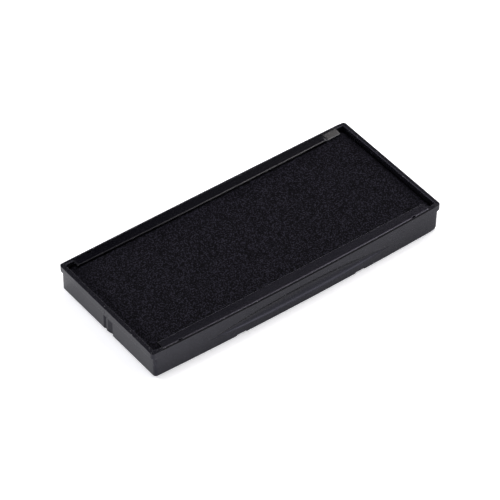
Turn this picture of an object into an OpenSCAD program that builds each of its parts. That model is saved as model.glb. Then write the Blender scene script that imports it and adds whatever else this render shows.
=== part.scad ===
// Ink pad cartridge: a moulded tray that holds a soaked foam block under an inking felt.
// +X runs along the long side, -Y faces the user, +Z is up. The origin is the centre of the underside.

/* [Tray] */
// Length over the two end rails
overall_l = 78.7; // [70:0.1:90]
// Width across the ends, where the long walls are straight
end_w = 34.7; // [32:0.1:40]
// Height from the underside to the rim
tray_h = 7; // [6.5:0.1:8]
// Thickness of the long walls, which is also the width of their rims
wall_t = 0.95; // [0.9:0.05:1.2]
// Thickness of the end walls below the rails
end_wall_t = 0.8; // [0.75:0.05:0.9]
// Width of the rim at the two ends, rail included
end_rim_w = 1.1; // [1:0.05:1.3]
// Thickness of the floor
floor_t = 1.2; // [1:0.1:1.5]
// Radius of the upright corners
corner_r = 0.8; // [0.5:0.1:1]
// How far the front wall bows outward at its middle
front_bow = 0.7; // [0.5:0.05:1]
// How far the rear wall bows outward at its middle
rear_bow = 0.1; // [0.05:0.05:0.3]

/* [End rails] */
// How far each end rail stands proud of the end wall
rail_out = 0.55; // [0.4:0.05:0.7]
// Height of the rail's upright face
rail_h = 1.55; // [1.2:0.05:1.8]
// Height of the slope under the rail
rail_slope = 0.3; // [0.2:0.05:0.5]
// How far the leading end wall leans in from top to bottom
lead_taper = 0.25; // [0.1:0.05:0.4]
// Radius under the leading end
lead_r = 0.8; // [0.5:0.1:1.2]

/* [Grip and detents] */
// Depth of the finger scoop at the middle of the front wall
scoop_depth = 0.3; // [0.2:0.05:0.4]
// Height of the finger scoop at its middle
scoop_h = 3.5; // [3:0.1:4]
// Height of the scoop's centre line above the underside
scoop_z = 3.4; // [3:0.1:3.6]
// Distance of each underside notch from the middle
notch_x = 16.2; // [14:0.1:20]
// Width of each underside notch
notch_w = 2.5; // [2:0.1:3]
// Height of each underside notch
notch_h = 0.35; // [0.2:0.05:0.5]
// Height of the two detent grooves in the trailing end wall
groove_h = 3.9; // [3:0.1:4.5]
// Depth of the two detent grooves at their deep side
groove_depth = 0.35; // [0.2:0.05:0.4]
// Width of the narrow detent groove
groove_narrow_w = 1; // [0.8:0.1:1.4]
// Width of the wide detent groove
groove_wide_w = 1.8; // [1.5:0.1:2.2]
// Width of the rib between the two detent grooves
groove_rib_w = 0.55; // [0.4:0.05:0.8]
// Distance of the detent grooves' middle from the tray's middle
groove_offset = -0.2; // [-0.5:0.05:0.5]

/* [Retaining strips] */
// Length of each retaining strip
strip_l = 72.4; // [68:0.1:73]
// Distance from the middle of the tray to each strip's inner edge
strip_inner_y = 14.7; // [14:0.1:15]
// Thickness of each strip's plate
strip_t = 0.42; // [0.35:0.01:0.5]
// Width of the rim left outside each strip
rim_outside_strip = 0.42; // [0.35:0.01:0.5]
// Distance of each clip from the middle
clip_x = 31.8; // [28:0.1:33]
// Width of each clip leg
clip_w = 3; // [2:0.1:4]
// Thickness of each clip leg
clip_t = 0.45; // [0.35:0.05:0.5]
// How far each clip's barb reaches into the wall
barb_out = 0.35; // [0.2:0.05:0.4]

/* [Pad] */
// Height of the felt's surface at the middle
felt_top = 6.2; // [5.9:0.1:6.3]
// Height of the felt's surface at the two ends
felt_end_top = 5.25; // [5:0.05:5.5]
// Thickness of the felt at the two ends
felt_end_t = 0.5; // [0.4:0.05:0.6]
// Length over which each end of the felt slopes down
felt_roll_l = 3.2; // [2:0.1:5]
// Clear width between the felt's flat surface and each strip
felt_edge_gap = 0.25; // [0.2:0.05:0.4]
// How far the felt's long edges drop under the strips
felt_edge_drop = 0.6; // [0.4:0.05:0.8]
// Clearance between the pad and the tray's end walls
pad_gap = 0.15; // [0.1:0.05:0.3]

/* [Hidden] */

half_l = overall_l / 2;
half_body_l = half_l - rail_out;
half_w = end_w / 2;
corner_steps = 8;
bow_steps = 24;
over = 1;
seat_gap = 0.05;

upper_half_l = half_l - end_rim_w;
lower_half_l = half_body_l - end_wall_t;
inner_half_w = half_w - wall_t;
rail_bottom = tray_h - rail_h - rail_slope;
ledge_z = felt_end_top - felt_end_t;

strip_z = tray_h - strip_t;
strip_half_l = strip_l / 2;
strip_root_w = half_w - rim_outside_strip;
clip_leg_bottom = 4.9;
barb_h = 0.5;
barb_top = clip_leg_bottom + 0.7;
clip_window_w = 1;
clip_window_d = 0.3;

pad_half_w = inner_half_w - clip_t - 2 * pad_gap;
crown_half_w = min(strip_inner_y - felt_edge_gap, pad_half_w - felt_edge_drop);
foam_top = ledge_z;
scoop_r = pow(scoop_h / 2, 2) / (2 * scoop_depth);
notch_d = 1.2;

// Half width of the tray at x, measured to a wall line that is w from the middle at the ends
function wall_y(x, w, bow) = w + bow * (1 - pow(x / half_l, 2));

// Quarter turn of radius r about (cx, cy), counted anticlockwise from the angle start
function quarter(cx, cy, r, start) = [
    for (i = [0:corner_steps])
        let (a = start + 90 * i / corner_steps)
            [cx + r * cos(a), cy + r * sin(a)]
];

// One bowed side from x0 to x1, without its end points
function bowed_side(x0, x1, w, bow, side) = [
    for (i = [1:bow_steps - 1])
        let (x = x0 + (x1 - x0) * i / bow_steps)
            [x, side * wall_y(x, w, bow)]
];

// Plan outline with bowed long sides: hl and w are half sizes, r rounds the corners
function plan(hl, w, r) =
    let (
        cx = hl - r,
        rear_y = wall_y(cx, w, rear_bow) - r,
        front_y = wall_y(cx, w, front_bow) - r
    )
    concat(
        quarter(cx, rear_y, r, 0),
        bowed_side(cx, -cx, w, rear_bow, 1),
        quarter(-cx, rear_y, r, 90),
        quarter(-cx, -front_y, r, 180),
        bowed_side(-cx, cx, w, front_bow, -1),
        quarter(cx, -front_y, r, 270)
    );

// Solid of a plan outline between two heights
module plan_block(hl, w, r, z0, z1) {
    translate([0, 0, z0])
        linear_extrude(z1 - z0)
            polygon(plan(hl, w, r));
}

// Extrudes an outline drawn in X and Z along Y, centred on the middle of the tray
module across(width, outline) {
    translate([0, width / 2, 0])
        rotate([90, 0, 0])
            linear_extrude(width)
                polygon(outline);
}

// Extrudes an outline drawn in Y and Z along X, centred on the middle of the tray
module along(length, outline) {
    translate([-length / 2, 0, 0])
        rotate([90, 0, 90])
            linear_extrude(length)
                polygon(outline);
}

// Body below the rails, with its leading end tapered and rounded underneath
module body_block() {
    foot_x = half_body_l - lead_taper;
    intersection() {
        plan_block(half_body_l, half_w, corner_r, 0, tray_h);
        across(2 * end_w, concat(
            [[-half_body_l, tray_h], [-half_body_l, 0]],
            quarter(foot_x - lead_r, lead_r, lead_r, 270),
            [[half_body_l, tray_h]]
        ));
    }
}

// Rail along the top of one end wall, which slides in the stamp's frame
module end_rail(side) {
    root_x = half_body_l - end_wall_t / 2;
    intersection() {
        plan_block(half_l, half_w, corner_r, rail_bottom, tray_h);
        across(2 * end_w, [
            [side * root_x, rail_bottom],
            [side * half_body_l, rail_bottom],
            [side * (half_l + over), rail_bottom + rail_slope * (1 + over / rail_out)],
            [side * (half_l + over), tray_h],
            [side * root_x, tray_h]
        ]);
    }
}

// Well that holds the pad, wider above the ledge that the felt's ends rest on
module well() {
    plan_block(lower_half_l, inner_half_w, corner_r / 2, floor_t, tray_h + over);
    plan_block(upper_half_l, inner_half_w, corner_r / 2, ledge_z, tray_h + over);
}

// Rebate in the tops of the long walls that seats the two strips flush with the rim
module strip_rebate() {
    plan_block(strip_half_l + seat_gap, strip_root_w + seat_gap, seat_gap, strip_z, tray_h + over);
}

// Pockets in one long wall that the strip's barbs snap into
module clip_pockets(side, bow) {
    for (x = [-clip_x, clip_x])
        translate([
            x - clip_w / 2 - 2 * seat_gap,
            side > 0 ? wall_y(x, inner_half_w, bow) - over : -wall_y(x, inner_half_w, bow) - barb_out - seat_gap,
            barb_top - barb_h - 2 * seat_gap
        ])
            cube([clip_w + 4 * seat_gap, over + barb_out + seat_gap, barb_h + 3 * seat_gap]);
}

// Long shallow scoop for a finger, cut straight across the bow of the front wall
module finger_scoop() {
    translate([0, -wall_y(0, half_w, front_bow) + scoop_depth - scoop_r, scoop_z])
        rotate([0, 90, 0])
            cylinder(r = scoop_r, h = overall_l, center = true, $fn = 180);
}

// Notches in the lower edges of both long walls
module edge_notches() {
    for (x = [-notch_x, notch_x], side = [-1, 1])
        translate([x - notch_w / 2, side * half_w - notch_d, -over])
            cube([notch_w, 2 * notch_d, over + notch_h]);
}

// Upright groove of width w in the trailing end wall, deepest along its -Y side and ramped out towards +Y
module ramped_groove(w) {
    linear_extrude(over + groove_h)
        polygon([[-over, 0], [groove_depth, 0], [0, w], [-over, w]]);
}

// Two ramped grooves with a rib between them near the middle of the trailing end wall
module end_grooves() {
    span = groove_narrow_w + groove_rib_w + groove_wide_w;
    translate([-half_body_l, groove_offset - span / 2, -over])
        ramped_groove(groove_wide_w);
    translate([-half_body_l, groove_offset + span / 2 - groove_narrow_w, -over])
        ramped_groove(groove_narrow_w);
}

module tray() {
    color([0.13, 0.13, 0.14])
        difference() {
            union() {
                body_block();
                end_rail(-1);
                end_rail(1);
            }
            well();
            strip_rebate();
            clip_pockets(-1, front_bow);
            clip_pockets(1, rear_bow);
            finger_scoop();
            edge_notches();
            end_grooves();
        }
}

// Foam block that stores the ink, under the felt
module ink_foam() {
    foam_half_l = lower_half_l - pad_gap;
    color([0.07, 0.07, 0.1])
        translate([-foam_half_l, -pad_half_w, floor_t])
            cube([2 * foam_half_l, 2 * pad_half_w, foam_top - floor_t]);
}

// Felt that gives the ink to the stamp's type plate: it crowns over the foam, rolls down at its two ends
// and drops along its long edges, so that its flat surface stays clear of the strips
module inking_felt() {
    felt_half_l = upper_half_l - pad_gap;
    felt_edge_top = felt_top - felt_edge_drop;
    color([0.1, 0.1, 0.13])
        intersection() {
            across(2 * pad_half_w, [
                [-felt_half_l, ledge_z],
                [felt_half_l, ledge_z],
                [felt_half_l, felt_end_top],
                [felt_half_l - felt_roll_l, felt_top],
                [-felt_half_l + felt_roll_l, felt_top],
                [-felt_half_l, felt_end_top]
            ]);
            along(2 * felt_half_l, [
                [-pad_half_w, ledge_z],
                [pad_half_w, ledge_z],
                [pad_half_w, felt_edge_top],
                [crown_half_w, felt_top],
                [-crown_half_w, felt_top],
                [-pad_half_w, felt_edge_top]
            ]);
        }
}

// Clip leg and barb that hold a strip at x, on the strip's own side of the tray
module clip(x, bow) {
    face_y = wall_y(x, inner_half_w, bow) - seat_gap;
    translate([x - clip_w / 2, face_y - clip_t, clip_leg_bottom])
        cube([clip_w, clip_t, strip_z + strip_t / 2 - clip_leg_bottom]);
    translate([x - clip_w / 2, face_y, barb_top])
        rotate([90, 90, 90])
            linear_extrude(clip_w)
                polygon([[0, -clip_t / 2], [0, barb_out], [barb_h, 0], [barb_h, -clip_t / 2]]);
}

// Retaining strip for the side of the tray that has the given bow, drawn on the +Y side
module strip(bow) {
    root = [
        for (i = [0:bow_steps])
            let (x = -strip_half_l + strip_l * i / bow_steps)
                [x, wall_y(x, strip_root_w, bow)]
    ];
    difference() {
        union() {
            translate([0, 0, strip_z])
                linear_extrude(strip_t)
                    polygon(concat([[strip_half_l, strip_inner_y], [-strip_half_l, strip_inner_y]], root));
            clip(-clip_x, bow);
            clip(clip_x, bow);
        }
        for (x = [-clip_x, clip_x])
            translate([x - clip_window_w / 2, wall_y(x, strip_root_w, bow) - clip_window_d, strip_z - seat_gap])
                cube([clip_window_w, over, strip_t + over]);
    }
}

module front_strip() {
    color([0.16, 0.16, 0.18])
        mirror([0, 1, 0])
            strip(front_bow);
}

module rear_strip() {
    color([0.16, 0.16, 0.18])
        strip(rear_bow);
}

tray();
ink_foam();
inking_felt();
front_strip();
rear_strip();
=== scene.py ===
"""Looks of the ink pad cartridge: moulded tray, felt on foam and two retaining strips."""

import math

import bpy
import numpy as np
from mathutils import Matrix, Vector


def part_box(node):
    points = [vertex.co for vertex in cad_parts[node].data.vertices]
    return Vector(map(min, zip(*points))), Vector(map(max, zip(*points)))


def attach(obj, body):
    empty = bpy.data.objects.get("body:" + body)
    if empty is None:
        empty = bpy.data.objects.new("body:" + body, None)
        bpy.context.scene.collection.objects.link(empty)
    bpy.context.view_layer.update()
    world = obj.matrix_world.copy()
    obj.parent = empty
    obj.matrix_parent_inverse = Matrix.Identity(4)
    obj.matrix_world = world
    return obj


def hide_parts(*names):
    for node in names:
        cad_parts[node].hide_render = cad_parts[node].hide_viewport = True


MM = 0.001

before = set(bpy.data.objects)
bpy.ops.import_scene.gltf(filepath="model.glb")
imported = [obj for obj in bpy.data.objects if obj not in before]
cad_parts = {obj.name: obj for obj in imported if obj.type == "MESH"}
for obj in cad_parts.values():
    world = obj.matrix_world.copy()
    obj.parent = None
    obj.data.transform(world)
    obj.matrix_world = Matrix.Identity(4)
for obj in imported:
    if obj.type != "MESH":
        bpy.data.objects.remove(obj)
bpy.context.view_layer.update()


# ---------------------------------------------------------------- sizes, in mm

def box_mm(node):
    lo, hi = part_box(node)
    return np.array(lo) / MM, np.array(hi) / MM


TRAY_LO, TRAY_HI = box_mm("tray")
FELT_LO, FELT_HI = box_mm("inking_felt")
FOAM_LO, FOAM_HI = box_mm("ink_foam")
STRIP_HALF = box_mm("front_strip")[1][0]

# The tray. An inset is measured in from the outer face of the wall it is on.
HALF_L = TRAY_HI[0]                 # over the end rails
RIM_Z = TRAY_HI[2]
RAIL_OUT = 0.55
BODY_L = HALF_L - RAIL_OUT          # the end walls' outer faces
FRONT_BOW = 0.7
REAR_BOW = 0.1
HALF_W = -TRAY_LO[1] - FRONT_BOW    # the long walls at the corners
CORNER_R = 0.8
WALL_T = 0.95
FLOOR_Z = FOAM_LO[2]
LEDGE_Z = FELT_LO[2]
RIM_IN = 0.55                       # inset of the end rims' inner edge
WELL_IN = 0.8                       # inset of the lower well's ends
CORE_IN = 4.0                       # inset of the flat patches that close the underside and the floor
RAIL_BOTTOM = RIM_Z - 1.55 - 0.3
RAIL_R = 0.14                       # rounding of the rails' lower edge
LEAD_TAPER = 0.25                   # how far the leading end leans in
LEAD_R = 0.8                        # rounding under the leading end
LEAD_BLEND_X = 36.4                 # where the long walls start to follow that rounding
FOOT_R = 0.14                       # rounding under the long walls and the trailing end
TOP_R = 0.17                        # bevel of the rim's outer edge
REAR_EDGE = 0.25                    # that bevel's share along the rear and trailing sides
IN_R = 0.12                         # rounding of the rim's inner edge

# Notches under the long walls, grooves and a parting line in the trailing end, scoop in the front wall
NOTCH_X, NOTCH_HALF, NOTCH_H, NOTCH_D = 16.2, 1.25, 0.35, 1.2
GROOVES = ((0.475, 1.475), (-1.875, -0.075))
GROOVE_TOP, GROOVE_D = 3.9, 0.56
PARTING_Y, PARTING_D = 0.2, 0.05
SCOOP_HALF, SCOOP_TIP, SCOOP_TOP, SCOOP_LOW, SCOOP_D = 25.0, 2.85, 5.22, 1.66, 0.56

# The strips, and the pits beside their clips
STRIP_T = 0.42
STRIP_END_GAP = 0.05
SEAT_Z = RIM_Z - STRIP_T
ROOT_IN = 0.42                      # inset of the strips' outer edges
STRIP_EDGE_R = 0.17                 # rounding of the strips' inner edge
FRONT_INNER = 14.87                 # where the front strip's inner edge lies
REAR_INNER, REAR_INNER_BOW = 14.5, 0.28
FRONT_LEAN = 0.10                   # how much lower a strip's outer edge lies than its inner one
REAR_LEAN, REAR_LEAN_LOSS = 0.12, 0.16
LEAN_FROM, LEAN_TO = -34, 32        # where the rear strip loses its lean
CLIP_X, CLIP_HALF_W = 31.8, 1.5
CLIP_NOTCH_HALF, CLIP_NOTCH_D = 0.5, 0.32
PIT_HALF, PIT_FROM, PIT_TO, PIT_D = 0.34, 0.39, 0.77, 0.5
TAB_X, TAB_DROP = 31.9, 0.34        # the rear strip's lowered leading end
FLAT = 0.93                         # the least Z of a normal on a strip's flat top

# The felt
CROWN_END, CROWN_EDGE = 3.2, 14.6
FELT_TOP = FELT_HI[2] + 0.08        # the crown swells a little between the strips
FELT_LEAD_TOP, FELT_TRAIL_TOP = 5.45, 5.4
FELT_FLARE = 0.04                   # how much wider it is past the strips' ends


def wall_y(x, w, bow):
    return w + bow * (1 - (x / HALF_L) ** 2)


def smooth(t):
    t = np.clip(t, 0, 1)
    return t * t * (3 - 2 * t)


# ---------------------------------------------------------------- meshes

def new_mesh(name, verts, faces, scale=MM, sharp_deg=None):
    """A smooth-shaded mesh object; scale turns the points into metres."""
    me = bpy.data.meshes.new(name)
    me.from_pydata([tuple(v) for v in np.asarray(verts, float) * scale], [], faces)
    me.validate()
    me.update()
    for p in me.polygons:
        p.use_smooth = True
    if sharp_deg is not None:
        me.set_sharp_from_angle(angle=math.radians(sharp_deg))
    ob = bpy.data.objects.new(name, me)
    bpy.context.scene.collection.objects.link(ob)
    return ob


def ring_faces(n_rings, n_st):
    """Quads between rings of n_st points each, every ring a closed loop."""
    faces = []
    for a in range(0, (n_rings - 1) * n_st, n_st):
        b = a + n_st
        for s in range(n_st):
            t = (s + 1) % n_st
            faces.append((a + s, a + t, b + t, b + s))
    return faces


def bar_faces(n_loops, m, flip):
    """Quads and two caps around n_loops loops of m points; flip turns them all over."""
    quads = ring_faces(n_loops, m)
    first, last = tuple(range(m)), tuple((n_loops - 1) * m + j for j in range(m))
    if flip:
        return [quad[::-1] for quad in quads] + [first, last[::-1]]
    return quads + [first[::-1], last]


# ---------------------------------------------------------------- the tray

def ring(side_in, z, end_n, end_p=None, seat=None, tag="", z_lead=None):
    """One closed loop of the tray's skin.

    side_in is the long walls' inset, end_n the trailing end's and end_p the leading end's. seat is
    (inset, z) where a strip lies, z_lead the height on the leading end, and tag the part of the wall.
    """
    return {
        "in": side_in, "z": z, "n": end_n, "p": end_n if end_p is None else end_p, "tag": tag,
        "seat": (side_in, z) if seat is None else seat, "z_lead": z if z_lead is None else z_lead,
    }


def lead_in(z):
    """Inset of the leaning leading end at height z."""
    return LEAD_TAPER * (RIM_Z - z) / (RIM_Z - LEAD_R)


def foot_rings():
    """The underside and its rounded edge."""
    rings = [
        ring(CORE_IN, 0, CORE_IN, tag="foot"),
        ring(NOTCH_D + 0.04, 0, 1.5, 2.0, tag="foot"),
        ring(NOTCH_D, 0, 1.4, 1.9, tag="foot"),
        ring(FOOT_R + 0.1, 0, FOOT_R + 0.1, LEAD_R + 0.4, tag="foot"),
    ]
    for i in range(7):
        a = math.radians(90 * i / 6)
        inset, rise = 1 - math.sin(a), 1 - math.cos(a)
        rings.append(ring(
            FOOT_R * inset, FOOT_R * rise, FOOT_R * inset, LEAD_TAPER + LEAD_R * inset,
            tag="foot", z_lead=LEAD_R * rise,
        ))
    return rings


def wall_rings():
    """The walls up to the rails, densest where the scoop and the grooves need it."""
    heights = [0.36, 0.5, 0.65, 0.8, 0.95, 1.1, 1.2, 1.3]
    heights += list(np.linspace(1.4, 2.52, 15)) + list(np.linspace(2.6, 3.7, 12))
    heights += [3.8, 3.88, 3.92, 3.98] + list(np.linspace(4.06, 5.02, 13))
    rings = []
    for z in heights:
        z_lead = LEAD_R + (z - FOOT_R) * (RAIL_BOTTOM - LEAD_R) / (RAIL_BOTTOM - FOOT_R)
        rings.append(ring(0, z, 0, lead_in(z_lead), tag="wall", z_lead=z_lead))
    return rings


def rail_rings():
    """The slope under the end rails, their upright faces and the bevelled top edge."""
    rings = [
        ring(0, RAIL_BOTTOM - 0.03, 0, lead_in(RAIL_BOTTOM), tag="wall"),
        ring(0, RAIL_BOTTOM, -0.02, -0.02, tag="wall"),
        ring(0, RAIL_BOTTOM + 0.04, -0.09, tag="wall"),
        ring(0, RAIL_BOTTOM + 0.19, -0.36, tag="wall"),
    ]
    for i in range(5):
        a = math.radians(28 + (90 - 28) * i / 4)
        z = RAIL_BOTTOM + 0.34 - RAIL_R * math.cos(a)
        rings.append(ring(0, z, -RAIL_OUT + RAIL_R * (1 - math.sin(a)), tag="rail"))
    for z in (5.6, 5.75, 5.95, 6.2, 6.45, 6.6):
        rings.append(ring(0, z, -RAIL_OUT, tag="rail"))
    for inset, drop in ((0, TOP_R), (TOP_R, 0)):
        rings.append(ring(inset, RIM_Z - drop, -RAIL_OUT + inset, tag="rim"))
    return rings


def rim_rings():
    """The rim's top, the step down to a strip's seat beside it, and the well's rounded edge."""
    rings = [
        ring(TOP_R + 0.02, RIM_Z, -RAIL_OUT + TOP_R + 0.04),
        ring(0.36, RIM_Z, -0.12, seat=(0.36, RIM_Z)),
        ring(0.44, RIM_Z, 0.0, seat=(0.38, RIM_Z - 0.03)),
        ring(0.52, RIM_Z, 0.12, seat=(0.38, SEAT_Z + 0.02)),
        ring(0.60, RIM_Z, 0.24, seat=(0.40, SEAT_Z)),
        ring(0.70, RIM_Z, 0.30, seat=(0.76, SEAT_Z)),
        ring(0.78, RIM_Z, RIM_IN - IN_R - 0.04, seat=(0.80, SEAT_Z)),
    ]
    for i in range(5):
        a = math.radians(90 * i / 4)
        out, up = math.sin(a), math.cos(a)
        rings.append(ring(
            WALL_T - IN_R + IN_R * out, RIM_Z - IN_R + IN_R * up, RIM_IN - IN_R + IN_R * out,
            seat=(WALL_T - 0.04 + 0.04 * out, SEAT_Z - 0.04 + 0.04 * up),
        ))
    return rings


def well_rings():
    """The inside, with the ledges at the ends that carry the felt, down to the floor."""
    rings = [ring(WALL_T, z, RIM_IN) for z in (6.4, 5.9, 5.4, 4.9, LEDGE_Z + 0.03)]
    rings += [
        ring(WALL_T, LEDGE_Z, RIM_IN + 0.03),
        ring(WALL_T, LEDGE_Z, WELL_IN - 0.02),
        ring(WALL_T, LEDGE_Z - 0.03, WELL_IN),
    ]
    rings += [ring(WALL_T, z, WELL_IN) for z in (4.0, 2.8, 1.5)]
    return rings + [
        ring(WALL_T + 0.02, FLOOR_Z + 0.1, WELL_IN + 0.02),
        ring(WALL_T + 0.12, FLOOR_Z, WELL_IN + 0.12),
        ring(CORE_IN, FLOOR_Z, CORE_IN),
    ]


def with_edges(values, edges, clear, offsets):
    """Swaps the values near each edge for points at the given offsets from it."""
    for e in edges:
        values = {v for v in values if abs(v - e) > clear}
        values |= {round(e + d, 3) for d in offsets}
    return values


def long_stations():
    """Where along X the long walls have points."""
    xs = set(np.round(np.arange(-37.2, 37.21, 0.6), 3))
    notch_edges = [c + e for c in (-NOTCH_X, NOTCH_X) for e in (-NOTCH_HALF, NOTCH_HALF)]
    pit_edges = [c + e for c in (-CLIP_X, CLIP_X) for e in (-PIT_HALF, PIT_HALF)]
    strip_end = STRIP_HALF + STRIP_END_GAP
    xs = with_edges(xs, notch_edges, 0.12, (-0.015, 0.015))
    xs = with_edges(xs, pit_edges, 0.12, (-0.02, 0.02))
    return sorted(with_edges(xs, (-strip_end, strip_end), 0.15, (-0.08, -0.012, 0.012, 0.08)))


def end_stations():
    """Where along Y the end walls have points."""
    ys = set(np.round(np.arange(-15.2, 15.21, 0.8), 3))
    for lo, hi in GROOVES:
        ys = with_edges(ys, (lo, hi), 0.12, (-0.05, -0.015, 0.015, 0.05))
        ys |= {round(lo + (hi - lo) * k / 5, 3) for k in range(1, 5)}
    ys = {y for y in ys if abs(y - PARTING_Y) > 0.12}
    return sorted(ys | {PARTING_Y - 0.06, PARTING_Y, PARTING_Y + 0.06})


def scoop_depth(x, z):
    """How deep the finger scoop is: a long lens with eased edges, wider above its tips than below."""
    s = 1 - (x / SCOOP_HALF) ** 2
    if s <= 0:
        return 0.0
    top = SCOOP_TIP + (SCOOP_TOP - SCOOP_TIP) * s
    low = SCOOP_TIP - (SCOOP_TIP - SCOOP_LOW) * s
    u = (z - low) / (top - low)
    if u <= 0 or u >= 1:
        return 0.0
    return SCOOP_D * s * (1 - (2 * u - 1) ** 2) * smooth((1 - u) / 0.1) * smooth(u / 0.06)


def softer_edge(z):
    """Height on the rim's bevel where it has only REAR_EDGE of its size."""
    return RIM_Z - (RIM_Z - z) * REAR_EDGE


def side_point(kind, x, r):
    """The point at x of ring r on the front or the rear wall."""
    sgn, bow = (-1, FRONT_BOW) if kind == "front" else (1, REAR_BOW)
    inset, z = r["in"], r["z"]
    if abs(x) < STRIP_HALF + STRIP_END_GAP:
        inset, z = r["seat"]
        if abs(abs(x) - CLIP_X) < PIT_HALF and PIT_FROM < inset < PIT_TO and z < SEAT_Z + 0.01:
            z -= PIT_D
    if r["tag"] == "rim" and kind == "rear":
        inset, z = inset * REAR_EDGE, softer_edge(z)
    if r["tag"] == "foot" and abs(abs(x) - NOTCH_X) < NOTCH_HALF and inset <= NOTCH_D:
        z = max(z, NOTCH_H)
    if r["tag"] in ("wall", "rail") and kind == "front":
        inset += scoop_depth(x, z)
    if r["tag"] in ("foot", "wall"):
        z += (r["z_lead"] - z) * smooth(x - LEAD_BLEND_X)
    return x, sgn * (wall_y(x, HALF_W, bow) - inset), z


def end_point(kind, y, r):
    """The point at y of ring r on the leading or the trailing end."""
    if kind == "lead":
        return BODY_L - r["p"], y, r["z_lead"]
    x, z = r["n"] - BODY_L, r["z"]
    for lo, hi in GROOVES:
        if lo < y < hi and r["tag"] in ("foot", "wall") and z < GROOVE_TOP:
            x = max(r["n"], GROOVE_D * (hi - y) / (hi - lo)) - BODY_L
    if abs(y - PARTING_Y) < 0.01 and r["tag"] in ("wall", "rail") and z > GROOVE_TOP:
        x += PARTING_D
    if r["tag"] == "rim":
        x -= r["in"] * (1 - REAR_EDGE)
        z = softer_edge(z)
    return x, y, z


def corner_point(kind, turn, r):
    """The point of ring r that is turn radians round an upright corner: front or rear, left or right."""
    front, lead = kind[0] == "f", kind[1] == "r"
    inset, z = r["in"], r["z_lead"] if lead else r["z"]
    rad = CORNER_R - min(inset, CORNER_R / 2)
    cx = BODY_L - (r["p"] if lead else r["n"]) - rad
    cy = wall_y(BODY_L - CORNER_R, HALF_W, FRONT_BOW if front else REAR_BOW) - inset - rad
    if r["tag"] == "rim" and kind == "rl":
        z = softer_edge(z)
        cx, cy = cx + (1 - REAR_EDGE) * inset, cy + (1 - REAR_EDGE) * inset
    a = math.radians({"fr": 270, "rr": 0, "rl": 90, "fl": 180}[kind]) + turn
    return (cx if lead else -cx) + rad * math.cos(a), (-cy if front else cy) + rad * math.sin(a), z


# Gloss of the front wall, lowered as painted shade: it falls in steps from x = -30 mm on towards the leading
# end, and again under the scoop's brow, by how far a face leans out over the floor.
GLOSS = 0.24
SHADE_FROM_X, SHADE_STEP_X = -30.0, 3.6
SHADE_GLOSS_ALONG_X = (0.225, 0.212, 0.198, 0.183, 0.168)
BROW_LEAN = (-0.06, -0.10, -0.14, -0.18, -0.22)
BROW_GLOSS = (0.146, 0.123, 0.100, 0.075, 0.050)


def tray_material_index(p):
    """0 is the plain tray, 1 the front rim's bevel with its painted dark shade line, and the rest are the
    front wall's copies with less gloss, painted shade: first the steps along X, then those under the scoop's
    brow.
    """
    c = p.center / MM
    below_rim = c.z < RIM_Z - 0.02
    # The front rim's outer bevel, which gets the painted shade line.
    if c.y < -HALF_W and c.z > RIM_Z - TOP_R and below_rim:
        return 1
    # Faces on the front wall get copies with less gloss: painted shade.
    if p.normal.y < -0.6 and c.y < -HALF_W + 1 and SHADE_FROM_X < c.x < BODY_L - 0.4 and below_rim:
        brow = sum(p.normal.z < lean for lean in BROW_LEAN)
        shade_step = min(int((c.x - SHADE_FROM_X) / SHADE_STEP_X), len(SHADE_GLOSS_ALONG_X) - 1)
        return 2 + (len(SHADE_GLOSS_ALONG_X) + brow - 1 if brow else shade_step)
    return 0


def build_tray():
    """The tray's skin, from the middle of the underside up the outside, over the rim and down inside."""
    rings = foot_rings() + wall_rings() + rail_rings() + rim_rings() + well_rings()
    xs, ys = long_stations(), end_stations()
    turns = [math.radians(90 * i / 8) for i in range(9)]
    way_round = (
        ("front", xs, side_point), ("fr", turns, corner_point), ("lead", ys, end_point),
        ("rr", turns, corner_point), ("rear", xs[::-1], side_point), ("rl", turns, corner_point),
        ("trail", ys[::-1], end_point), ("fl", turns, corner_point),
    )
    verts = [point(kind, t, r) for r in rings for kind, ts, point in way_round for t in ts]
    n = sum(len(ts) for _, ts, _ in way_round)
    ob = new_mesh("tray_body", verts, bar_faces(len(rings), n, flip=False), sharp_deg=32)
    for p in ob.data.polygons:
        p.material_index = tray_material_index(p)
    return ob


# ---------------------------------------------------------------- the strips and their clips

def strip_section():
    """A strip's cross-section as (edge, distance in from that edge or share of the width, height)."""
    section = []
    for i in range(4):
        a = math.radians(-90 + 90 * i / 3)
        section.append(("in", 0.06 * (1 - math.cos(a)), 0.06 + 0.06 * math.sin(a)))
    for i in range(7):
        a = math.radians(90 * i / 6)
        rise = STRIP_T - STRIP_EDGE_R + STRIP_EDGE_R * math.sin(a)
        section.append(("in", STRIP_EDGE_R * (1 - math.cos(a)), rise))
    section += [("mid", u, STRIP_T) for u in (0.02, 0.3, 0.65, 1.0)]
    for i in range(5):
        a = math.radians(90 * i / 4)
        section.append(("out", 0.1 * (1 - math.sin(a)), STRIP_T - 0.1 * (1 - math.cos(a))))
    section += [("out", 0.0, 0.04), ("out", 0.04, 0.0)]
    return section + [("mid", u, 0.0) for u in (1.0, 0.5, 0.05)]


def strip_stations():
    """Where along X a strip has points, with pairs at the sides of its clip notches."""
    xs = list(np.round(np.linspace(-STRIP_HALF, STRIP_HALF, 146), 3))
    half = CLIP_NOTCH_HALF
    for c in (-CLIP_X, CLIP_X):
        xs = [x for x in xs if abs(abs(x - c) - half) >= 0.1]
        xs += [c - half - 0.015, c - half, c + half, c + half + 0.015]
    return sorted(xs)


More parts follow.
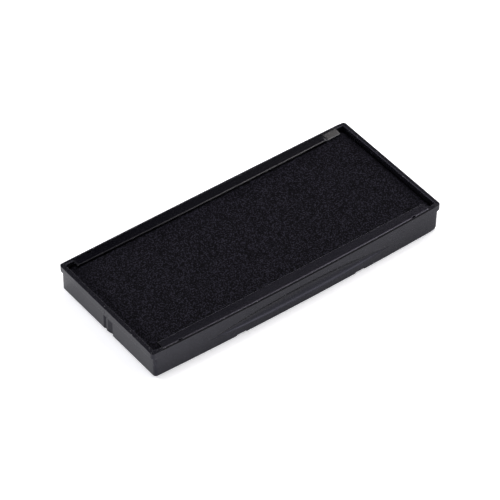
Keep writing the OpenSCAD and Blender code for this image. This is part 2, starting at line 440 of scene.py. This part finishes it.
def build_strip(name, side):
    """A retaining strip with rounded edges, lifted a little along its inner edge by the pad."""
    bow = FRONT_BOW if side < 0 else REAR_BOW
    xs, section = strip_stations(), strip_section()
    verts = []
    for x in xs:
        outer = wall_y(x, HALF_W, bow) - ROOT_IN - 0.02
        in_notch = abs(abs(x) - CLIP_X) < CLIP_NOTCH_HALF + 0.005
        root = outer - CLIP_NOTCH_D if in_notch else outer
        inner, lean, tab = FRONT_INNER, FRONT_LEAN, 0.0
        if side > 0:
            inner = REAR_INNER + REAR_INNER_BOW * (x / STRIP_HALF) ** 2
            lean = REAR_LEAN - REAR_LEAN_LOSS * smooth((x - LEAN_FROM) / (LEAN_TO - LEAN_FROM))
            tab = smooth((x - TAB_X) / 0.5)
        for kind, u, h in section:
            if kind == "in":
                y = inner + u
            elif kind == "out":
                y = root - u
            else:
                y = inner + STRIP_EDGE_R + (outer - 0.45 - inner - STRIP_EDGE_R) * u
            share = (y - inner) / (outer - inner)
            z = SEAT_Z + h - lean * share * (1 - tab) - TAB_DROP * tab * (1 - share)
            verts.append((x, side * y, min(z, RIM_Z)))
    return new_mesh(name, verts, bar_faces(len(xs), len(section), flip=side > 0), sharp_deg=40)


def build_clip_leg(name, side, clip_x):
    """The leg and barb under a strip that hold it in the long wall."""
    bow = FRONT_BOW if side < 0 else REAR_BOW
    face = wall_y(clip_x, HALF_W - WALL_T, bow) - 0.05
    outline = [
        (face - 0.45, SEAT_Z + 0.12), (face - 0.45, 5.0), (face - 0.36, 4.9), (face - 0.08, 4.9),
        (face, 4.98), (face, 5.08), (face + 0.02, 5.12), (face + 0.32, 5.54), (face + 0.33, 5.58),
        (face + 0.3, 5.6), (face, 5.6), (face, SEAT_Z + 0.12),
    ]
    m = len(outline)
    mid_y, mid_z = (sum(axis) / m for axis in zip(*outline))
    stations = (-CLIP_HALF_W, -1.46, -0.8, 0.8, 1.46, CLIP_HALF_W)
    verts = []
    for x in stations:
        k = 0.94 if abs(x) == CLIP_HALF_W else 1.0
        verts += [(clip_x + x, side * (mid_y + (y - mid_y) * k), mid_z + (z - mid_z) * k) for y, z in outline]
    return new_mesh(name, verts, bar_faces(len(stations), m, flip=side < 0), sharp_deg=30)


# ---------------------------------------------------------------- the pad

def value_noise(x, y, cell, seed):
    """Smooth noise from -1 to 1 on points in mm."""
    n = 512
    g = np.random.default_rng(seed).uniform(-1, 1, (n, n))
    u, v = x / cell, y / cell
    i, j = np.floor(u).astype(int), np.floor(v).astype(int)
    fu, fv = smooth(u - i), smooth(v - j)
    a, b = g[i % n, j % n], g[(i + 1) % n, j % n]
    c, d = g[i % n, (j + 1) % n], g[(i + 1) % n, (j + 1) % n]
    return (a * (1 - fu) + b * fu) * (1 - fv) + (c * (1 - fu) + d * fu) * fv


def past_strip_ends(x):
    """0 under the strips, 1 in the pad's free corners."""
    return smooth((np.abs(x) - STRIP_HALF + 0.6) / 0.6)


def build_soft(name, lo, hi, top, step, grain, seed, edge_r, flare=0.0):
    """A closed pad: a fine grid on top that follows top(x, y), rolled edges, sides and a flat underside.

    flare widens it past the strips' ends, where nothing holds its corners in.
    """
    nx, ny = int((hi[0] - lo[0]) / step), int((hi[1] - lo[1]) / step)
    X, Y = np.meshgrid(np.linspace(lo[0], hi[0], nx), np.linspace(lo[1], hi[1], ny), indexing="ij")
    d = np.minimum.reduce([X - lo[0], hi[0] - X, Y - lo[1], hi[1] - Y])
    roll = edge_r - np.sqrt(np.maximum(0, edge_r ** 2 - (edge_r - d) ** 2))
    layers = ((0.4, 0.45), (0.12, 0.9), (0.6, 7.0))         # each noise's amplitude and cell size
    bumps = sum(k * value_noise(X + 90, Y + 90, cell, seed + i) for i, (k, cell) in enumerate(layers))
    Z = top(X, Y) - np.where(d < edge_r, roll, 0) + grain * bumps
    Y = Y * (1 + flare * past_strip_ends(X))
    verts = np.stack([X, Y, Z], -1).reshape(-1, 3).tolist()

    def at(i, j):
        return i * ny + j

    faces = [
        (at(i, j), at(i + 1, j), at(i + 1, j + 1), at(i, j + 1))
        for i in range(nx - 1) for j in range(ny - 1)
    ]
    border = [at(i, 0) for i in range(nx)] + [at(nx - 1, j) for j in range(1, ny)]
    border += [at(i, ny - 1) for i in range(nx - 2, -1, -1)] + [at(0, j) for j in range(ny - 2, 0, -1)]
    base, m = len(verts), len(border)
    verts += [[verts[b][0], verts[b][1], lo[2]] for b in border]
    for s in range(m):
        t = (s + 1) % m
        faces.append((border[s], base + s, base + t, border[t]))
    faces.append(tuple(base + s for s in reversed(range(m))))
    return new_mesh(name, verts, faces, sharp_deg=60)


def felt_surface(x, y):
    """Crowned felt: level in the middle, rolled down at its ends and pressed down under the strips."""
    u = np.clip((np.abs(x) - (FELT_HI[0] - CROWN_END)) / CROWN_END, 0, 1)
    v = np.clip((np.abs(y) - CROWN_EDGE) / (FELT_HI[1] - CROWN_EDGE), 0, 1)
    end_top = np.where(x > 0, FELT_LEAD_TOP, FELT_TRAIL_TOP)
    held = 1 - 0.7 * past_strip_ends(x)
    return FELT_TOP - (FELT_TOP - end_top) * u ** 1.7 - 0.5 * held * v ** 1.3


def foam_surface(x, y):
    return np.full_like(x, FOAM_HI[2])


tray = build_tray()
felt = build_soft(
    "inking_felt_pad", FELT_LO, FELT_HI, felt_surface,
    step=0.22, grain=0.03, seed=11, edge_r=0.15, flare=FELT_FLARE,
)
foam = build_soft(
    "ink_foam_block", FOAM_LO, FOAM_HI, foam_surface, step=0.8, grain=0.02, seed=31, edge_r=0.25,
)
front_strip = build_strip("front_retaining_strip", -1)
rear_strip = build_strip("rear_retaining_strip", 1)
legs = [
    build_clip_leg(f"{row}_clip_leg_{end}", side, clip_x)
    for row, side in (("front", -1), ("rear", 1))
    for end, clip_x in (("trailing", -CLIP_X), ("leading", CLIP_X))
]


# ---------------------------------------------------------------- materials

COOL, COOLER = (0.80, 0.79, 1.0), (0.81, 0.79, 1.0)     # tints of the plastics' reflections


class Shader:
    """A small helper that builds one procedural material."""

    def __init__(self, name, roughness, ior, specular, tint=(1, 1, 1)):
        self.mat = bpy.data.materials.new(name)
        self.mat.use_nodes = True
        self.nt = self.mat.node_tree
        self.bsdf = self.nt.nodes["Principled BSDF"]
        self.bsdf.inputs["Roughness"].default_value = roughness
        self.bsdf.inputs["IOR"].default_value = ior
        self.bsdf.inputs["Specular IOR Level"].default_value = specular
        self.bsdf.inputs["Specular Tint"].default_value = (*tint, 1)
        self.coord = self.nt.nodes.new("ShaderNodeTexCoord").outputs["Object"]

    def link(self, a, b):
        self.nt.links.new(a, b)

    def noise(self, scale, detail=3.0, roughness=0.55, stretch=(1, 1, 1)):
        mapping = self.nt.nodes.new("ShaderNodeMapping")
        mapping.inputs["Scale"].default_value = stretch
        self.link(self.coord, mapping.inputs["Vector"])
        n = self.nt.nodes.new("ShaderNodeTexNoise")
        n.inputs["Scale"].default_value = scale
        n.inputs["Detail"].default_value = detail
        n.inputs["Roughness"].default_value = roughness
        self.link(mapping.outputs["Vector"], n.inputs["Vector"])
        return n.outputs["Fac"]

    def cells(self, scale, smoothness=0.6):
        v = self.nt.nodes.new("ShaderNodeTexVoronoi")
        v.feature = "SMOOTH_F1"
        v.inputs["Scale"].default_value = scale
        v.inputs["Smoothness"].default_value = smoothness
        self.link(self.coord, v.inputs["Vector"])
        return v.outputs["Distance"]

    def axis(self, name):
        """The object coordinate along X, Y or Z, in metres."""
        split = self.nt.nodes.new("ShaderNodeSeparateXYZ")
        self.link(self.coord, split.inputs["Vector"])
        return split.outputs[name]

    def mix(self, fac, a, b):
        """a where fac is 0 and b where it is 1; each is a colour or a socket."""
        m = self.nt.nodes.new("ShaderNodeMix")
        m.data_type = "RGBA"
        self.link(fac, m.inputs[0])
        for value, k in ((a, 6), (b, 7)):
            if isinstance(value, tuple):
                m.inputs[k].default_value = (*value, 1)
            else:
                self.link(value, m.inputs[k])
        return m.outputs[2]

    def math(self, op, a, b):
        m = self.nt.nodes.new("ShaderNodeMath")
        m.operation = op
        self.link(a, m.inputs[0])
        self.link(b, m.inputs[1])
        return m.outputs[0]

    def span(self, fac, lo, hi, start=0.0, end=1.0):
        """lo where fac is at start or before it, hi where it is at end or past it."""
        m = self.nt.nodes.new("ShaderNodeMapRange")
        for k, v in zip(("From Min", "From Max", "To Min", "To Max"), (start, end, lo, hi)):
            m.inputs[k].default_value = v
        self.link(fac, m.inputs["Value"])
        return m.outputs["Result"]

    def wear_and_edge_highlight(self):
        """1 where an outer edge is rubbed; on the rear strip the tone it carries is partly a painted
        highlight.
        """
        geo = self.nt.nodes.new("ShaderNodeNewGeometry")
        edge = self.span(geo.outputs["Pointiness"], 0, 1, 0.51, 0.60)
        return self.math("MULTIPLY", edge, self.span(self.noise(900, 4), 0, 1, 0.42, 0.62))

    def bumps(self, *layers):
        """Bump layers as (height, strength, distance in mm)."""
        self.normal = None
        for height, strength, dist in layers:
            b = self.nt.nodes.new("ShaderNodeBump")
            b.inputs["Strength"].default_value = strength
            b.inputs["Distance"].default_value = dist * MM
            self.link(height, b.inputs["Height"])
            if self.normal is not None:
                self.link(self.normal, b.inputs["Normal"])
            self.normal = b.outputs["Normal"]
        self.link(self.normal, self.bsdf.inputs["Normal"])

    def coat_along_x(self, lo, hi):
        """A slightly cloudy coat, lo in weight near the trailing end and hi near the leading end."""
        weight = self.span(self.axis("X"), lo, hi, -30 * MM, 30 * MM)
        weight = self.math("ADD", weight, self.span(self.noise(80, 3), -0.03, 0.03))
        self.link(weight, self.bsdf.inputs["Coat Weight"])
        self.bsdf.inputs["Coat Roughness"].default_value = 0.22
        self.link(self.normal, self.bsdf.inputs["Coat Normal"])

    def base(self, color):
        self.link(color, self.bsdf.inputs["Base Color"])

    def rough(self, fac):
        self.link(fac, self.bsdf.inputs["Roughness"])


def moulded_plastic(name, gloss=GLOSS):
    """Semi-matt black plastic, worn along its edges, with light specks along its rim: partly nicks, partly a
    painted speckled highlight.
    """
    sh = Shader(name, 0.27, 1.5, gloss, COOL)
    cloud = sh.noise(60, 4)
    flow = sh.noise(45, 3, stretch=(0.25, 1, 1.6))
    speck = sh.noise(4200, 2)
    tone = sh.mix(cloud, (0.0046, 0.0044, 0.0062), (0.0074, 0.0071, 0.0098))
    tone = sh.mix(sh.span(speck, 0, 1, 0.55, 0.75), tone, (0.011, 0.011, 0.012))
    tone = sh.mix(sh.wear_and_edge_highlight(), tone, (0.034, 0.034, 0.036))
    # Light specks on the rim's top: partly nicks, partly a painted highlight.
    on_rim = sh.span(sh.axis("Z"), 0, 1, (RIM_Z - 0.12) * MM, (RIM_Z - 0.1) * MM)
    nick_and_glint = sh.math("MULTIPLY", on_rim, sh.span(sh.noise(2000, 2), 0, 1, 0.66, 0.71))
    sh.base(sh.mix(nick_and_glint, tone, (0.13, 0.13, 0.135)))
    sh.rough(sh.math("ADD", sh.span(flow, 0.21, 0.30), sh.span(speck, -0.04, 0.06)))
    sh.bumps((speck, 0.30, 0.012), (sh.noise(1500, 3), 0.25, 0.02), (flow, 0.25, 0.03))
    return sh.mat


def strip_plastic(name, dull=None):
    """Satin plastic. dull = (lo, hi): a coat that is thinner at the trailing end, painted shade that dims the
    strip's reflection there.
    """
    sh = Shader(name, 0.3, 1.5, 0.06 if dull else 0.46, COOLER)
    cloud = sh.noise(80, 3)
    grain = sh.noise(3600, 2)
    drag = sh.noise(500, 3, stretch=(0.08, 1, 1))
    # With the coat, the rubbed edges get a lighter tone: partly wear, partly a painted highlight.
    edge = 0.040 if dull else 0.020
    tone = sh.mix(cloud, (0.0014, 0.0013, 0.0024), (0.0024, 0.0022, 0.0040))
    tone = sh.mix(sh.span(grain, 0, 1, 0.55, 0.75), tone, (0.012, 0.012, 0.014))
    sh.base(sh.mix(sh.wear_and_edge_highlight(), tone, (edge, edge, edge * 1.08)))
    sh.rough(sh.math("ADD", sh.span(drag, 0.18, 0.25), sh.span(grain, -0.05, 0.07)))
    sh.bumps((grain, 0.35, 0.02), (drag, 0.2, 0.01))
    if dull:
        sh.coat_along_x(*dull)
    return sh.mat


def ink_felt():
    """Fine felt soaked with black ink. Its fibre tips, the bumps' highs, are lighter with a faint blue-violet
    cast, partly grain and partly painted glints; its pits are a little darker, painted shade.
    """
    sh = Shader("inked_felt", 0.8, 1.45, 0.05)
    fine = sh.noise(3400, 2, 0.6)
    grit = sh.cells(3000)
    patch = sh.noise(120, 3)
    tone = sh.mix(patch, (0.0009, 0.0008, 0.0016), (0.0015, 0.0013, 0.0023))
    # Lighter fibre tips: partly grain, partly painted glints.
    tone = sh.mix(sh.span(fine, 0, 1, 0.50, 0.60), tone, (0.0172, 0.0160, 0.0234))
    # Darker pits: painted shade.
    sh.base(sh.mix(sh.span(fine, 1, 0, 0.38, 0.48), tone, (0.0008, 0.0007, 0.0014)))
    sh.rough(sh.span(fine, 0.7, 0.9))
    sh.bumps((grit, 0.7, 0.10), (fine, 0.6, 0.06), (patch, 0.15, 0.1))
    return sh.mat


def ink_foam():
    """Open-cell foam soaked with black ink, darker in its pores: painted shade."""
    sh = Shader("inked_foam", 0.7, 1.4, 0.3)
    pores = sh.cells(1300, 0.3)
    fine = sh.noise(2600, 3)
    tone = sh.mix(fine, (0.0030, 0.0030, 0.0044), (0.0085, 0.0085, 0.0115))
    # The pores, pits in the bump, are darker: painted shade.
    sh.base(sh.mix(sh.span(pores, 0, 1, 0.2, 0.5), (0.0014, 0.0014, 0.0020), tone))
    sh.rough(sh.span(fine, 0.55, 0.85))
    sh.bumps((pores, 0.8, 0.2), (fine, 0.4, 0.05))
    return sh.mat


def rim_bevel_painted_shade():
    """A dark, low-gloss material along the front rim's outer bevel: a painted shade line."""
    sh = Shader("rim_bevel_painted_shade", 0.6, 1.5, 0.12)
    grain = sh.noise(2600, 3)
    sh.base(sh.mix(grain, (0.0006, 0.0006, 0.0010), (0.0020, 0.0020, 0.0028)))
    sh.rough(sh.span(grain, 0.5, 0.7))
    sh.bumps((grain, 0.4, 0.02), (sh.noise(900, 2), 0.2, 0.02))
    return sh.mat


def set_materials(ob, *mats):
    for mat in mats:
        ob.data.materials.append(mat)


# Copies of the plastic with less gloss, for the front wall's painted shade.
front_shade_plastics = [
    moulded_plastic(f"front_plastic_gloss_shade_{k}", gloss) for k, gloss in enumerate(SHADE_GLOSS_ALONG_X + BROW_GLOSS)
]
satin = strip_plastic("satin_strip_plastic")
set_materials(tray, moulded_plastic("black_moulded_plastic"), rim_bevel_painted_shade(), *front_shade_plastics)
set_materials(felt, ink_felt())
set_materials(foam, ink_foam())
for ob in (front_strip, *legs):
    set_materials(ob, satin)
# The rear strip's top and its edge faces get copies whose reflection fades towards the trailing end, painted
# shade; the edge copy keeps more coat there, a painted highlight.
set_materials(
    rear_strip, strip_plastic("rear_strip_painted_shade", dull=(0.03, 0.82)),
    strip_plastic("rear_strip_edge_painted_highlight", dull=(0.25, 0.72)),
)
# Flat top faces take the first copy, the rest the edge copy with its painted highlight.
for p in rear_strip.data.polygons:
    p.material_index = 0 if p.normal.z > FLAT else 1


# ---------------------------------------------------------------- what each piece stands for

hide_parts("tray")
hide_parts("inking_felt")
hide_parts("ink_foam")
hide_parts("front_strip")
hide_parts("rear_strip")
for ob in (tray, felt, foam, front_strip, rear_strip, *legs):
    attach(ob, "root")


# ---------------------------------------------------------------- floor, lights and camera

FLOOR_GLOW, BACKDROP_GLOW = 0.43, 1.5

# name, azimuth from +Y towards +X, elevation, distance and width in metres, watts, colour
LIGHTS = (
    ("key_softbox", 72, 64, 0.50, 0.20, 0.8, (1.0, 0.96, 0.92)),
    ("back_softbox", -18, 60, 0.80, 0.34, 3.4, (0.97, 0.97, 1.0)),
    ("right_softbox", 92, 50, 0.80, 0.34, 2.4, (0.97, 0.97, 1.0)),
    ("low_front_softbox", 153, 7, 0.80, 0.25, 1.15, (1.0, 1.0, 1.0)),
)
WORLD_COLOUR, WORLD_STRENGTH = (0.80, 0.80, 1.0), 0.045

# The photograph's viewing angle: a long lens from the front left
CAMERA_AZIMUTH, CAMERA_ELEVATION, CAMERA_DISTANCE = -36.98, 43.16, 0.7250
CAMERA_LENS, CAMERA_SENSOR = 237.6, 36
CAMERA_SHIFT = (-0.0037, -0.0091)


def pale_material(name, glow):
    mat = bpy.data.materials.new(name)
    mat.use_nodes = True
    bsdf = mat.node_tree.nodes["Principled BSDF"]
    bsdf.inputs["Base Color"].default_value = (0.95, 0.95, 0.96, 1)
    bsdf.inputs["Roughness"].default_value = 0.9
    bsdf.inputs["Specular IOR Level"].default_value = 0.1
    bsdf.inputs["Emission Color"].default_value = (0.99, 0.99, 1.0, 1)
    bsdf.inputs["Emission Strength"].default_value = glow
    return mat


def build_floor():
    """A flat pale floor whose far border sweeps up all round, in metres."""
    profile = [(0.5, 0.0), (1.2, 0.0), (2.0, 0.0)]
    for i in range(1, 9):
        t = math.radians(70 * i / 8)
        profile.append((2.0 + math.sin(t), 1.5 * (1 - math.cos(t))))
    n = 96
    turns = [2 * math.pi * k / n for k in range(n)]
    verts = [(r * math.cos(t), r * math.sin(t), z) for r, z in profile for t in turns]
    faces = [face[::-1] for face in ring_faces(len(profile), n)] + [tuple(range(n))]
    ob = new_mesh("floor", verts, faces, scale=1)
    set_materials(ob, pale_material("pale_floor", FLOOR_GLOW), pale_material("pale_backdrop", BACKDROP_GLOW))
    for p in ob.data.polygons:
        p.material_index = 1 if p.center.z > 0.001 else 0


def place(name, data, at, back):
    """Links a lamp or a camera at a place, looking against back."""
    ob = bpy.data.objects.new(name, data)
    ob.location = at
    ob.rotation_mode = "QUATERNION"
    ob.rotation_quaternion = back.to_track_quat("Z", "Y")
    bpy.context.scene.collection.objects.link(ob)
    return ob


def add_light(name, azimuth, elevation, distance, size, watts, colour):
    """A square soft light that faces the object."""
    a, e = math.radians(azimuth), math.radians(elevation)
    at = Vector((math.sin(a) * math.cos(e), math.cos(a) * math.cos(e), math.sin(e))) * distance
    data = bpy.data.lights.new(name, "AREA")
    data.shape = "SQUARE"
    data.size = size
    data.energy = watts
    data.color = colour
    place(name, data, at, at)


def set_world(colour, strength):
    world = bpy.data.worlds.new("studio")
    world.use_nodes = True
    bg = world.node_tree.nodes["Background"]
    bg.inputs["Color"].default_value = (*colour, 1)
    bg.inputs["Strength"].default_value = strength
    bpy.context.scene.world = world


def set_camera():
    a, e = math.radians(CAMERA_AZIMUTH), math.radians(CAMERA_ELEVATION)
    back = Vector((math.sin(a) * math.cos(e), -math.cos(a) * math.cos(e), math.sin(e)))
    target = Vector((0, 0, RIM_Z / 2 * MM))
    data = bpy.data.cameras.new("camera")
    data.lens = CAMERA_LENS
    data.sensor_width = CAMERA_SENSOR
    data.shift_x, data.shift_y = CAMERA_SHIFT
    data.clip_start, data.clip_end = 0.01, 20
    bpy.context.scene.camera = place("camera", data, target + back * CAMERA_DISTANCE, back)


build_floor()
for light in LIGHTS:
    add_light(*light)
set_world(WORLD_COLOUR, WORLD_STRENGTH)
set_camera()
bpy.context.scene.view_settings.view_transform = "Standard"


# ---------------------------------------------------------------- the end

bpy.context.view_layer.update()
